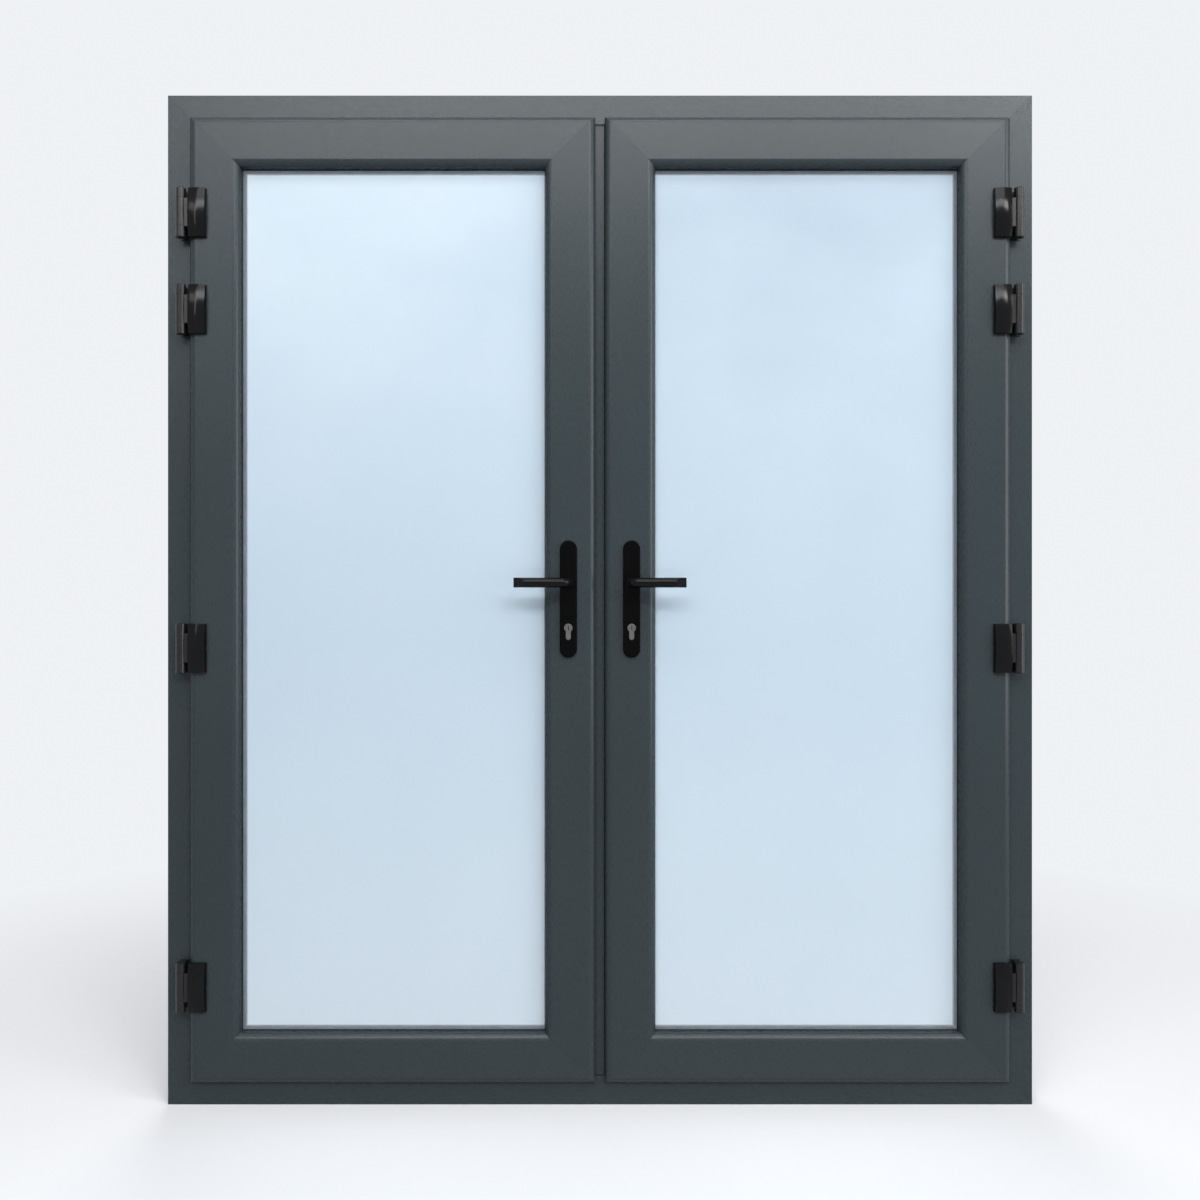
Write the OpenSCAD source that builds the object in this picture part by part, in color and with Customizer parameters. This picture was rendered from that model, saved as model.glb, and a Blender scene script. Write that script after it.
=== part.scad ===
/* [Frame] */
// Overall width of the frame
frame_w = 1790; // [1500:10:2100]
// Overall height of the frame
frame_h = 2090; // [1950:10:2250]
// Depth of the frame from its outside face to its room face
frame_depth = 70; // [66:1:82]
// Width of the frame's outside face
frame_face = 60; // [56:1:70]
// How far the room-side leg stands past the outside face
leg_w = 20; // [16:1:26]
// Thickness of the room-side leg
leg_depth = 18; // [14:1:22]
// Outer wall of every hollow profile
wall = 3; // [2.5:0.1:3.5]
// Web between the chambers of a profile
web = 2; // [1.5:0.1:2.5]
// Chamber of the frame profile beside the wall opening
side_chamber = 10; // [8:1:12]
// Chamber of the frame profile behind its outside face
face_chamber = 4; // [3:0.5:6]
// Chamber of the frame profile beside the leaves
edge_chamber = 9; // [8.5:0.5:12]
// Wall of the steel bars inside the profiles
steel_wall = 1.5; // [1:0.25:2.5]
// Play of a steel bar in its chamber
steel_play = 0.3; // [0.2:0.05:0.5]
// Length left free of steel at each mitre
steel_setback = 120; // [105:5:160]

/* [Frame fixings] */
// Radius of a fixing hole through a jamb
fixing_r = 5; // [3:0.5:6]
// Height of the end fixing holes from the frame's ends
fixing_end = 200; // [150:10:230]
// Distance between the two holes of a pair
fixing_spacing = 500; // [400:10:600]
// Depth of the fixing holes behind the outside face
fixing_d = 26; // [18:1:34]

/* [Leaves] */
// Margin of frame face that shows round the leaves
leaf_margin = 50; // [46:0.5:54]
// Width of the strip that shows between the leaves
meeting_gap = 19.5; // [16:0.5:24]
// Width of the face of a rail or stile
leaf_face = 103.5; // [98:0.5:112]
// How far the leaf's face stands in front of the frame's face
leaf_proud = 20; // [18:0.5:23]
// Gap between the lapping flange and the frame's face
flange_gap = 4; // [3:0.5:5]
// Gap between the leaf's body and the frame
edge_gap = 10; // [9.5:0.5:12]
// Gap between the leaf's room face and the frame's leg
leg_gap = 4; // [3:0.5:5]
// Width of the rounded outer edge, seen from the front
chamfer_w = 14; // [11:0.5:15]
// Depth of the rounded outer edge
chamfer_d = 10; // [7:0.5:11]
// Width of the rounded slope down to the glass, seen from the front
bevel_w = 14.5; // [11:0.5:16]
// Depth of the rounded slope down to the glass
bevel_d = 12; // [9:0.5:13]
// Radius of the rounded edges
edge_r = 17; // [15.5:0.5:24]
// How far the glazing leg laps over the glass rebate
rebate_lap = 16; // [14:0.5:18]
// Thickness of the glazing leg at the glass
leg_edge = 8; // [7:0.5:9]
// Chamber of the leaf profile beside the glass
glass_chamber = 8; // [6:0.5:10]

/* [Glazing] */
// Thickness of a pane
pane_t = 4; // [3:0.5:5]
// Width of the cavity between the panes
cavity = 20; // [16:1:22]
// Thickness of a glazing gasket
gasket_t = 3; // [2:0.5:4]
// Width of a glazing gasket
gasket_w = 8; // [6:0.5:10]
// Height of the gasket's visible lip past the sight line
gasket_lip = 1.5; // [1:0.25:4]
// Gap between the rebate's floor and the glass, filled by packers
glass_gap = 5; // [4:0.5:6]
// Height of the spacer bar
spacer_h = 7; // [6:0.5:8]
// Depth of the edge sealant outside the spacer bar
sealant_h = 4.5; // [3:0.5:6]
// Length of a packer
packer_l = 100; // [60:5:120]
// Distance of a packer's middle from the glazed unit's corner
packer_end = 130; // [100:5:180]
// Room-side chamfer of a glazing bead across its face
bead_chamfer_w = 8; // [5:0.5:10]
// Part of a bead's depth that stays square at the glass
bead_edge = 4; // [3:0.5:6]

/* [Seals] */
// Width of the foot of a bulb seal
seal_foot = 8; // [6:0.5:9]
// Thickness of the foot of a bulb seal
seal_foot_t = 1; // [0.8:0.1:1.4]
// Clearance of a seal from what it seals on
seal_clear = 0.3; // [0.2:0.05:0.5]
// Half the gap at the mitre between two lengths of seal or bead
cut_joint = 0.2; // [0.1:0.05:0.4]
// Radius of the meeting seal's bulb
meeting_bulb_r = 4; // [3:0.25:4.5]
// Depth of the meeting seal behind the frame's outside face
meeting_seal_d = 7; // [6:0.5:9]
// Width of the meeting seal's foot
meeting_foot = 10; // [8:0.5:12]
// Thickness of the meeting seal's fin and foot
meeting_fin = 2; // [1.5:0.25:3]

/* [Mullion] */
// Gap between the mullion's free edge and the right leaf
mullion_clear = 1; // [0.9:0.05:1.2]
// How much narrower the mullion is at its back
mullion_taper = 4; // [3.5:0.25:6]
// Gap between the mullion's ends and the frame
mullion_end_gap = 2; // [1.5:0.5:4]
// Thickness of the mullion's end caps
mullion_cap = 3; // [2:0.5:4]

/* [Hinges] */
// Height of the end hinges from the frame's ends
hinge_end = 251; // [240:1:300]
// Distance between the two upper hinges
hinge_pair = 198; // [150:1:260]
// Distance of the hinge axis from the leaf's edge
hinge_offset = 14.6; // [13.5:0.1:16]
// Distance of the hinge axis in front of the leaf's face
hinge_lift = 2; // [1.5:0.1:3]
// Radius of the barrel
barrel_r = 10; // [9.5:0.1:11]
// Height of the barrel
barrel_h = 100; // [90:1:120]
// Height of the frame's knuckle at each end of the barrel
knuckle_h = 20; // [16:1:24]
// Thickness of the barrel's end caps
barrel_cap = 3; // [2:0.5:4]
// Radius of the hinge pin
pin_r = 5; // [4:0.25:5.5]
// Wall of the bush
bush_wall = 2; // [1.5:0.25:2.5]
// Thickness of the bush's thrust flange
bush_flange = 1; // [0.8:0.1:1.5]
// Radial running clearance
running = 0.05; // [0.03:0.01:0.1]
// Gap above the leaf's knuckle
knuckle_gap = 0.3; // [0.2:0.05:0.5]
// Thickness of the hinge plate on the jamb
jamb_plate_t = 3; // [2:0.5:4]
// Thickness of the web from the jamb plate to its knuckles
jamb_web = 10; // [8:0.5:12]
// Thickness of the hinge plate on the leaf
leaf_plate_t = 4; // [3:0.5:5]
// Thickness of the arm from the leaf's plate to its knuckle
arm_t = 6.5; // [5:0.5:8]
// Gap between the arm and the leaf's face
arm_gap = 0.5; // [0.3:0.1:1]
// Distance of the hinge plates from the leaf's edge and its chamfer
hinge_plate_gap = 1; // [0.5:0.25:2]
// Distance of the cover from the leaf's edge
cover_start = 1.5; // [1:0.5:3]
// Width of the cover
cover_w = 36; // [33:0.5:40]
// Thickness of the cover
cover_t = 15; // [13:0.5:18]
// Wall of the cover
cover_wall = 2; // [1.5:0.25:2.5]
// Radius of the cover's long front edges
cover_round = 5; // [3:0.5:6]
// Radius of the cover's crowned front
cover_crown = 60; // [40:5:120]
// Radius of the cover's bow from top to bottom
cover_bow = 220; // [180:10:400]
// Height of the release notch in the cover's side
notch_h = 10; // [6:0.5:14]
// Depth of the release notch in the cover's side
notch_d = 4; // [3:0.5:6]

/* [Handles] */
// Height of the lever's axis above the threshold's underside
lever_z = 1080; // [1000:5:1120]
// Distance from the lever's axis down to the cylinder's
lock_centres = 92; // [72:1:100]
// Distance from the leaf's edge to the lever's axis
backset = 35; // [33:0.5:38]
// Width of a handle plate
plate_w = 35; // [32:0.5:40]
// Height of a handle plate
plate_h = 240; // [220:1:280]
// Thickness of a handle plate
plate_t = 8; // [6:0.5:10]
// Bevel round the plate's face
plate_bevel = 3; // [2:0.25:4]
// Distance from the lever's axis down to the plate's middle
plate_drop = 33; // [30:1:40]
// Radius of the collar round the lever's neck
collar_r = 13; // [12.5:0.25:15]
// Height of the collar
collar_h = 4; // [2:0.5:6]
// Radius of the lever's bar
bar_r = 10; // [8:0.25:10.5]
// Distance of the bar's middle from the leaf's face
bar_reach = 48; // [44:1:56]
// Radius of the lever's bend
bend_r = 16; // [13:0.5:20]
// Length of the lever from its axis to its tip
lever_l = 110; // [95:1:125]
// Angle of the cut facet at the lever's tip
tip_angle = 48; // [30:1:55]
// Side of the square spindle
spindle_w = 8; // [7:0.5:9]
// Depth of the spindle's hole in each lever
spindle_grip = 26; // [20:1:30]
// Gap at the spindle's ends, and between a lever's neck and the leaf
lever_gap = 1; // [0.5:0.25:2]

/* [Locks] */
// Depth of the lock's middle behind the frame's outside face
lock_d = 28; // [26:0.5:30]
// Width of the lock groove in the leaf's edge
groove_w = 12; // [11.5:0.5:13]
// Depth of the lock groove from the leaf's edge
groove_depth = 14; // [13.5:0.5:15]
// Width of the faceplate that closes the groove
faceplate_w = 20; // [18:0.5:22]
// Thickness of the faceplate
faceplate_t = 3; // [2:0.25:3.5]
// Distance of the faceplate's ends from the leaf's ends
faceplate_end = 60; // [45:5:120]
// Sliding clearance of the rods and the lock case
slide_clear = 0.3; // [0.2:0.05:0.4]
// Thickness of a shootbolt rod
rod_t = 6; // [5:0.5:7]
// Radius of a shootbolt's round tip
bolt_r = 4.5; // [4:0.25:5]
// Length of a shootbolt's round tip
bolt_l = 60; // [50:5:90]
// Distance of a retracted tip inside the leaf's edge
bolt_inset = 1; // [0.5:0.25:2]
// Travel of a shootbolt each way
bolt_travel = 22; // [20:0.5:23]
// Length of a rod's drive lug
lug_h = 8; // [6:0.5:10]
// Width of a rod's drive lug
lug_w = 6; // [5:0.5:7]
// How far a drive lug reaches into the lock case
lug_reach = 6; // [4:0.5:8]
// Depth of the lock case
case_depth = 37; // [36:0.5:38]
// Thickness of the lock case
case_t = 14; // [13:0.5:16]
// Length of the lock case past the lever's and the cylinder's axes
case_end = 60; // [57:1:70]
// Radius of the follower that the spindle turns
follower_r = 9; // [8:0.25:9.5]
// Radius of the spindle's hole through the stile
spindle_hole_r = 11; // [9:0.5:12]
// Thickness of a keep
keep_t = 2.5; // [2:0.25:3]
// Width of a keep
keep_w = 15; // [13:0.5:16]
// Length of a keep
keep_l = 40; // [34:1:44]
// Clearance round a shootbolt in its keep
keep_clear = 0.8; // [0.5:0.1:1.2]

/* [Cylinders] */
// Radius of the cylinder's round part
cyl_r = 8.5; // [8:0.25:9]
// Height of the cylinder's outline
cyl_h = 33; // [31:0.5:34]
// Width of the cylinder's lower part
cyl_web = 10; // [9:0.25:10.5]
// How far the cylinder stands out of each plate
cyl_proud = 2; // [1:0.5:3]
// Clearance round the cylinder
cyl_clear = 0.3; // [0.2:0.05:0.5]
// Radius of the turning plug
plug_r = 6.5; // [5.5:0.25:6.75]
// Width of the cam
cam_w = 9.6; // [8:0.2:10]
// Reach of the cam from the plug's axis
cam_reach = 15; // [13:0.5:15.5]
// Breadth of the cam's lobe
cam_b = 7; // [6:0.5:8]
// Gap at the cam's sides and round its path
cam_clear = 0.5; // [0.3:0.1:0.8]
// Width of the keyway
keyway_w = 2; // [1.5:0.1:2.4]
// Height of the keyway
keyway_h = 9; // [7:0.5:10]
// Depth of the keyway from the plug's end
keyway_depth = 24; // [16:1:26]

/* [Hidden] */
$fn = 64;
bow_steps = 4 * $fn;
eps = 1;
frame_colour = [0.24, 0.275, 0.285];
black_colour = [0.05, 0.05, 0.055];
rubber_colour = [0.1, 0.1, 0.1];
steel_colour = [0.72, 0.72, 0.72];
nickel_colour = [0.78, 0.77, 0.74];
nylon_colour = [0.85, 0.85, 0.82];
glass_colour = [0.78, 0.87, 0.93, 0.4];

leg_front = frame_depth - leg_depth;
frame_steel_u0 = wall + side_chamber + web;
frame_steel_u1 = frame_face - wall - edge_chamber - web;
frame_steel_d0 = wall + face_chamber + web;
frame_steel_d1 = frame_depth - wall;
fixing_heights = [
    fixing_end,
    fixing_end + fixing_spacing,
    frame_h - fixing_end - fixing_spacing,
    frame_h - fixing_end
];

leaf_w = (frame_w - 2 * leaf_margin - meeting_gap) / 2;
leaf_h = frame_h - 2 * leaf_margin;
leaf_cx = -(meeting_gap + leaf_w) / 2;
leaf_edge_x = -meeting_gap / 2;
body_s = frame_face + edge_gap - leaf_margin;
face_d = -leaf_proud;
flange_back = -flange_gap;
leaf_back = leg_front - leg_gap;
leaf_middle = (face_d + leaf_back) / 2;
rebate_s = leaf_face - rebate_lap;
leg_back = face_d + bevel_d + leg_edge;
groove_s = body_s + groove_depth;
seat_s = body_s + faceplate_t;
leaf_steel_s0 = groove_s + web;
leaf_steel_s1 = rebate_s - wall - glass_chamber - web;
leaf_steel_d0 = flange_back - wall + web;
leaf_steel_d1 = leaf_back - wall;

glass_front = leg_back + gasket_t;
glass_back = glass_front + 2 * pane_t + cavity;
bead_front = glass_back + gasket_t;
glass_s = rebate_s + glass_gap;
glass_w = leaf_w - 2 * glass_s;
glass_h = leaf_h - 2 * glass_s;

hinge_x = -frame_w / 2 + leaf_margin - hinge_offset;
hinge_y = face_d - hinge_lift;
hinge_heights = [
    hinge_end,
    (frame_h - hinge_pair) / 2,
    frame_h - hinge_end - hinge_pair,
    frame_h - hinge_end
];
knuckle_half = barrel_h / 2 - knuckle_h;
bush_r = pin_r + running + bush_wall;
cover_x0 = hinge_offset + cover_start;

handle_x = leaf_edge_x - body_s - backset;
cyl_z = lever_z - lock_centres;
bolt_s = seat_s + slide_clear + bolt_r + slide_clear;
bolt_x = leaf_edge_x - bolt_s;
bolt_top = frame_h - leaf_margin - body_s - bolt_inset;
bolt_bottom = frame_h - bolt_top;
rod_s0 = seat_s + slide_clear;
rod_w = groove_w - 2 * slide_clear;
rod_start = bolt_travel + 2 * slide_clear;
case_s0 = groove_s + slide_clear;
case_s1 = case_s0 + case_depth;
case_top = lever_z + case_end;
case_bottom = cyl_z - case_end;
cam_path_r = cam_reach + cam_clear + cam_b / 4;
cyl_out = lock_d - face_d + plate_t + cyl_proud;
cyl_in = leaf_back - lock_d + plate_t + cyl_proud;

mullion_x0 = leaf_edge_x - body_s;
mullion_x1 = meeting_gap / 2 - mullion_clear;
mullion_z0 = frame_face + mullion_end_gap;
mullion_l = frame_h - 2 * mullion_z0;

// Places a ring of members centred on the frame, or on the left leaf
module at_frame() translate([0, -frame_depth / 2, frame_h / 2]) children();
module at_leaf() translate([leaf_cx, -frame_depth / 2, frame_h / 2]) children();
module at_depth() translate([0, -frame_depth / 2, 0]) children();
module to_right() mirror([1, 0, 0]) children();

// Turns a bar that stands on the left side of a ring to each of its four sides
module side_left(w) translate([-w / 2, 0, 0]) children();
module side_right(w) mirror([1, 0, 0]) side_left(w) children();
module side_bottom(h) rotate([0, -90, 0]) translate([-h / 2, 0, 0]) children();
module side_top(h) mirror([0, 0, 1]) side_bottom(h) children();

// A length of profile with both ends mitred; x runs inwards and y runs into the depth
module mitred(len, deep, joint = 0) {
    reach = 2 * (frame_depth + leaf_proud);
    half = len / 2 - joint;
    intersection() {
        linear_extrude(len + 2 * eps, center = true) children();
        rotate([90, 0, 0])
            linear_extrude(2 * reach, center = true)
                polygon([[-eps, -half - eps], [-eps, half + eps], [deep, half - deep], [deep, deep - half]]);
    }
}

module box_between(u0, d0, u1, d1) translate([u0, d0]) square([u1 - u0, d1 - d0]);

// Frame profile: an L with five chambers
module frame_profile() {
    inner = frame_steel_u1 + web;
    difference() {
        polygon([
            [0, 0], [frame_face, 0], [frame_face, leg_front], [frame_face + leg_w, leg_front],
            [frame_face + leg_w, frame_depth], [0, frame_depth]
        ]);
        box_between(wall, wall, wall + side_chamber, frame_depth - wall);
        box_between(frame_steel_u0, frame_steel_d0, frame_steel_u1, frame_steel_d1);
        box_between(frame_steel_u0, wall, frame_face - wall, wall + face_chamber);
        box_between(inner, frame_steel_d0, frame_face - wall, leg_front);
        box_between(inner, leg_front + wall, frame_face + leg_w - wall, frame_depth - wall);
    }
}

module frame_bar(len) mitred(len, frame_face + leg_w) frame_profile();

// Holes for the fixings through a jamb, from the leaf side to the wall opening
module jamb_fixings() {
    for (z = fixing_heights)
        translate([-frame_w / 2 - eps, fixing_d - frame_depth / 2, z])
            rotate([0, 90, 0]) cylinder(r = fixing_r, h = frame_face + 2 * eps);
}

// Holes for both leaves' shootbolts through one wall of the head or the threshold
module bolt_sockets(z) {
    for (x = [-bolt_x, bolt_x])
        translate([x, lock_d - frame_depth / 2, z])
            cylinder(r = bolt_r + keep_clear, h = 2 * wall, center = true);
}

module frame_head() color(frame_colour) difference() {
    at_frame() side_top(frame_h) frame_bar(frame_w);
    bolt_sockets(frame_h - frame_face);
}

module frame_threshold() color(frame_colour) difference() {
    at_frame() side_bottom(frame_h) frame_bar(frame_w);
    bolt_sockets(frame_face);
}

module frame_left_jamb() color(frame_colour) difference() {
    at_frame() side_left(frame_w) frame_bar(frame_h);
    jamb_fixings();
}

module frame_right_jamb() to_right() frame_left_jamb();

// A hollow steel bar with square ends that fills a chamber
module steel_bar(u0, d0, u1, d1, len) {
    linear_extrude(len - 2 * steel_setback, center = true)
        difference() {
            box_between(u0 + steel_play, d0 + steel_play, u1 - steel_play, d1 - steel_play);
            box_between(
                u0 + steel_play + steel_wall, d0 + steel_play + steel_wall,
                u1 - steel_play - steel_wall, d1 - steel_play - steel_wall);
        }
}

module frame_steel(len) steel_bar(frame_steel_u0, frame_steel_d0, frame_steel_u1, frame_steel_d1, len);

module frame_steels() color(steel_colour) {
    at_frame() {
        side_top(frame_h) frame_steel(frame_w);
        side_bottom(frame_h) frame_steel(frame_w);
    }
    for (side = [0, 1])
        mirror([side, 0, 0])
            difference() {
                at_frame() side_left(frame_w) frame_steel(frame_h);
                jamb_fixings();
            }
}

// A bulb seal with a flat foot; y = 0 is the face that carries it, and it stands towards -y
module bulb_seal(gap) {
    bulb_r = (gap - seal_clear) / 2;
    translate([-seal_foot / 2, -seal_foot_t]) square([seal_foot, seal_foot_t]);
    translate([0, -bulb_r]) circle(r = bulb_r);
}

module frame_seal_bar(len) {
    mitred(len, frame_face + leg_w, cut_joint)
        translate([frame_face + leg_w / 2, leg_front]) bulb_seal(leg_gap);
}

module frame_gasket() color(rubber_colour) at_frame() {
    side_left(frame_w) frame_seal_bar(frame_h);
    side_right(frame_w) frame_seal_bar(frame_h);
    side_bottom(frame_h) frame_seal_bar(frame_w);
    side_top(frame_h) frame_seal_bar(frame_w);
}

// Leaf profile: a T with a lapping flange, a glazing leg and a stepped lock groove
module leaf_profile() {
    seat0 = lock_d - faceplate_w / 2;
    seat1 = lock_d + faceplate_w / 2;
    groove0 = lock_d - groove_w / 2;
    groove1 = lock_d + groove_w / 2;
    difference() {
        union() {
            polygon([
                [0, flange_back], [0, face_d + chamfer_d], [chamfer_w, face_d],
                [leaf_face - bevel_w, face_d], [leaf_face, face_d + bevel_d], [leaf_face, leg_back],
                [rebate_s, leg_back], [rebate_s, leaf_back], [body_s, leaf_back],
                [body_s, seat1], [seat_s, seat1], [seat_s, groove1], [groove_s, groove1],
                [groove_s, groove0], [seat_s, groove0], [seat_s, seat0], [body_s, seat0],
                [body_s, flange_back]
            ]);
            translate([0, face_d]) rounded_slope(chamfer_w, chamfer_d, edge_r);
            translate([leaf_face, face_d]) mirror([1, 0]) rounded_slope(bevel_w, bevel_d, edge_r);
        }
        face_pocket();
        leg_pocket();
        box_between(leaf_steel_s0, leaf_steel_d0, leaf_steel_s1, leaf_steel_d1);
        box_between(leaf_steel_s1 + web, leaf_steel_d0, rebate_s - wall, leaf_steel_d1);
        box_between(seat_s, leaf_steel_d0, groove_s, seat0 - wall);
        box_between(seat_s, seat1 + wall, groove_s, leaf_steel_d1);
    }
}

// Fills the bulge of a rounded edge between the face at x = w and the side at y = d
module rounded_slope(w, d, r) {
    chord = norm([w, d]);
    back = sqrt(r * r - chord * chord / 4);
    intersection() {
        translate([w, d] / 2 + [d, w] * back / chord) circle(r = r);
        square([w, d]);
    }
}

// Inside of the wall behind a sloped edge: its depth at the flat wall, and where it meets the face's wall
function slope_depth(w, d) = d + wall * (norm([w, d]) - d) / w;
function slope_end(w, d) = (w * (d - wall) + wall * norm([w, d])) / d;

// Chamber behind the leaf's face, out to the flange
module face_pocket() {
    back = flange_back - wall;
    depth = slope_depth(chamfer_w, chamfer_d);
    end = slope_end(chamfer_w, chamfer_d);
    polygon([
        [wall, back], [wall, face_d + depth], [end, face_d + wall],
        [rebate_s - wall, face_d + wall], [rebate_s - wall, back]
    ]);
    translate([wall, face_d + wall]) rounded_slope(end - wall, depth - wall, edge_r - wall);
}

// Chamber in the glazing leg
module leg_pocket() {
    start = rebate_s - wall + web;
    tip = leaf_face - wall;
    depth = slope_depth(bevel_w, bevel_d);
    end = slope_end(bevel_w, bevel_d);
    polygon([
        [start, face_d + wall], [leaf_face - end, face_d + wall],
        [tip, face_d + depth], [tip, leg_back - wall], [start, leg_back - wall]
    ]);
    translate([tip, face_d + wall])
        mirror([1, 0]) rounded_slope(end - wall, depth - wall, edge_r - wall);
}

module leaf_bar(len) mitred(len, leaf_face) leaf_profile();

// Room cut in the lock stile and its steel for the case, the spindle and the cylinder
module lock_cuts() at_depth() {
    translate([
        leaf_edge_x - case_s1 - slide_clear, lock_d - case_t / 2 - slide_clear,
        case_bottom - slide_clear
    ])
        cube([
            case_depth + 2 * slide_clear + eps, case_t + 2 * slide_clear,
            case_top - case_bottom + 2 * slide_clear
        ]);
    across_leaf(lever_z) cylinder(r = spindle_hole_r, h = leaf_back - face_d + 2 * eps, center = true);
    across_leaf(cyl_z)
        linear_extrude(leaf_back - face_d + 2 * eps, center = true) cylinder_outline(cyl_clear);
}

// Puts a shape on the lever's line, in the middle of the leaf's depth, facing outside
module across_leaf(z) translate([handle_x, leaf_middle, z]) rotate([90, 0, 0]) children();

module leaf_top_rail() color(frame_colour) at_leaf() side_top(leaf_h) leaf_bar(leaf_w);
module leaf_bottom_rail() color(frame_colour) at_leaf() side_bottom(leaf_h) leaf_bar(leaf_w);
module leaf_hinge_stile() color(frame_colour) at_leaf() side_left(leaf_w) leaf_bar(leaf_h);
module leaf_lock_stile() color(frame_colour) difference() {
    at_leaf() side_right(leaf_w) leaf_bar(leaf_h);
    lock_cuts();
}

module leaf_steel(len) steel_bar(leaf_steel_s0, leaf_steel_d0, leaf_steel_s1, leaf_steel_d1, len);

module leaf_steels() color(steel_colour) {
    at_leaf() {
        side_top(leaf_h) leaf_steel(leaf_w);
        side_bottom(leaf_h) leaf_steel(leaf_w);
        side_left(leaf_w) leaf_steel(leaf_h);
    }
    difference() {
        at_leaf() side_right(leaf_w) leaf_steel(leaf_h);
        lock_cuts();
    }
}

// A sheet centred in the leaf between two depths
module sheet(w, h, d0, d1) translate([-w / 2, d0, -h / 2]) cube([w, d1 - d0, h]);

module leaf_panes() color(glass_colour) at_leaf() {
    sheet(glass_w, glass_h, glass_front, glass_front + pane_t);
    sheet(glass_w, glass_h, glass_back - pane_t, glass_back);
}

module leaf_spacer() color(steel_colour) at_leaf() difference() {
    outer = 2 * sealant_h;
    inner = 2 * (sealant_h + spacer_h);
    front = glass_front + pane_t;
    sheet(glass_w - outer, glass_h - outer, front, front + cavity);
    sheet(glass_w - inner, glass_h - inner, front - eps, front + cavity + eps);
}

module leaf_beads() color(frame_colour) at_leaf() {
    side_left(leaf_w) bead_bar(leaf_h);
    side_right(leaf_w) bead_bar(leaf_h);
    side_bottom(leaf_h) bead_bar(leaf_w);
    side_top(leaf_h) bead_bar(leaf_w);
}

module bead_bar(len) mitred(len, leaf_face, cut_joint)
    polygon([
        [rebate_s, bead_front], [leaf_face, bead_front], [leaf_face, bead_front + bead_edge],
        [leaf_face - bead_chamfer_w, leaf_back], [rebate_s, leaf_back]
    ]);

// Glazing gaskets on both faces of the glass, and the flange seal on the three sides that meet the frame
module leaf_gaskets() color(rubber_colour) at_leaf() {
    for (d = [leg_back, glass_back])
        difference() {
            gasket_sheet(leaf_face - gasket_w, d, d + gasket_t);
            gasket_sheet(leaf_face + gasket_lip, d - eps, d + gasket_t + eps);
        }
    side_left(leaf_w) flange_seal_bar(leaf_h);
    side_bottom(leaf_h) flange_seal_bar(leaf_w);
    side_top(leaf_h) flange_seal_bar(leaf_w);
}

module gasket_sheet(s, d0, d1) sheet(leaf_w - 2 * s, leaf_h - 2 * s, d0, d1);

module flange_seal_bar(len) mitred(len, leaf_face, cut_joint)
    translate([(frame_face - leaf_margin) / 2, flange_back]) mirror([0, 1]) bulb_seal(flange_gap);

module leaf_packers() color(black_colour) at_leaf() {
    side_left(leaf_w) packer_pair(glass_h);
    side_right(leaf_w) packer_pair(glass_h);
    side_bottom(leaf_h) packer_pair(glass_w);
    side_top(leaf_h) packer_pair(glass_w);
}

module packer_pair(len) {
    for (side = [-1, 1])
        translate([rebate_s, glass_front, side * (len / 2 - packer_end) - packer_l / 2])
            cube([glass_gap, glass_back - glass_front, packer_l]);
}

// Stands a shape on every hinge axis of the left leaf
module at_hinges() {
    for (z = hinge_heights)
        translate([hinge_x, hinge_y - frame_depth / 2, z]) children();
}

module left_jamb_hinges() color(black_colour) at_hinges() jamb_hinge();
module right_jamb_hinges() to_right() left_jamb_hinges();

// Hinge half on the jamb: a plate, and a webbed knuckle at each end of the barrel
module jamb_hinge() {
    reach = -hinge_y;
    lower = -barrel_h / 2 + barrel_cap;
    difference() {
        union() {
            translate([-barrel_r, reach - jamb_plate_t, -barrel_h / 2])
                cube([barrel_r + hinge_offset - hinge_plate_gap, jamb_plate_t, barrel_h]);
            for (span = [[lower, -knuckle_half], [knuckle_half, barrel_h / 2]]) {
                translate([0, 0, span[0]]) cylinder(r = barrel_r, h = span[1] - span[0]);
                translate([-jamb_web / 2, 0, span[0]]) cube([jamb_web, reach, span[1] - span[0]]);
            }
        }
        translate([0, 0, -barrel_h / 2]) cylinder(r = pin_r + running, h = barrel_h - barrel_cap);
    }
}

// Pins with a cap at the lower end of the barrel
module hinge_pins() color(black_colour)
    for (side = [0, 1])
        mirror([side, 0, 0])
            at_hinges() {
                translate([0, 0, -barrel_h / 2]) cylinder(r = barrel_r, h = barrel_cap);
                translate([0, 0, -barrel_h / 2]) cylinder(r = pin_r, h = barrel_h - barrel_cap);
            }

module leaf_hinges() color(black_colour) at_hinges() leaf_hinge();

// Hinge half on the leaf: the centre knuckle, an arm over the chamfer and a plate on the face
module leaf_hinge() {
    knuckle_z = -knuckle_half + bush_flange;
    knuckle_len = 2 * knuckle_half - bush_flange - knuckle_gap;
    plate_x = hinge_offset + chamfer_w + hinge_plate_gap;
    plate_end = cover_x0 + cover_w - cover_wall - slide_clear;
    plate_half = barrel_h / 2 - cover_wall - slide_clear;
    arm_back = hinge_lift - arm_gap;
    difference() {
        union() {
            translate([0, 0, knuckle_z]) cylinder(r = barrel_r, h = knuckle_len);
            translate([0, arm_back - arm_t, knuckle_z])
                cube([plate_x + leaf_plate_t, arm_t, knuckle_len]);
            translate([plate_x, hinge_lift - leaf_plate_t, -plate_half])
                cube([plate_end - plate_x, leaf_plate_t, 2 * plate_half]);
        }
        translate([0, 0, -knuckle_half]) cylinder(r = bush_r + running, h = 2 * knuckle_half);
    }
}

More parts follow.
